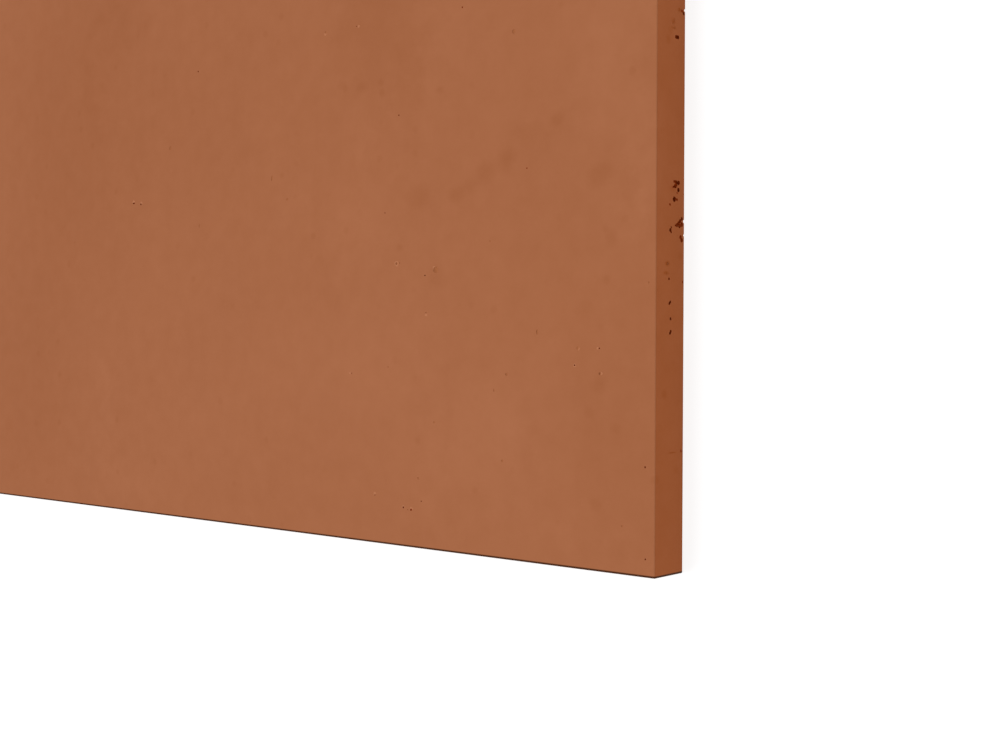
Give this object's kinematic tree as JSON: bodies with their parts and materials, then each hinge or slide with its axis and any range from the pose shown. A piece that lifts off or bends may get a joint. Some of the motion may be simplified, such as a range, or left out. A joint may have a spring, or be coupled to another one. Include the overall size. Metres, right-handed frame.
{
  "type": "concrete wall panel",
  "caption": "Flat rectangular wall panel of through-coloured cast concrete, with a smooth front, eased arrises and air voids along one end, fixed to a wall by its plain back.",
  "frame": {"origin": "centre of the back face, which the panel lies on", "axes": "+X along the panel's length, towards the end with the air voids; +Y across its height, upwards once it is hung; +Z out of the front face"},
  "size_m": [1.2, 0.6, 0.02],
  "materials": {
    "terracotta_concrete": "matte"
  },
  "bodies": {
    "root": {"concrete_panel": "terracotta_concrete"}
  },
  "joints": []
}
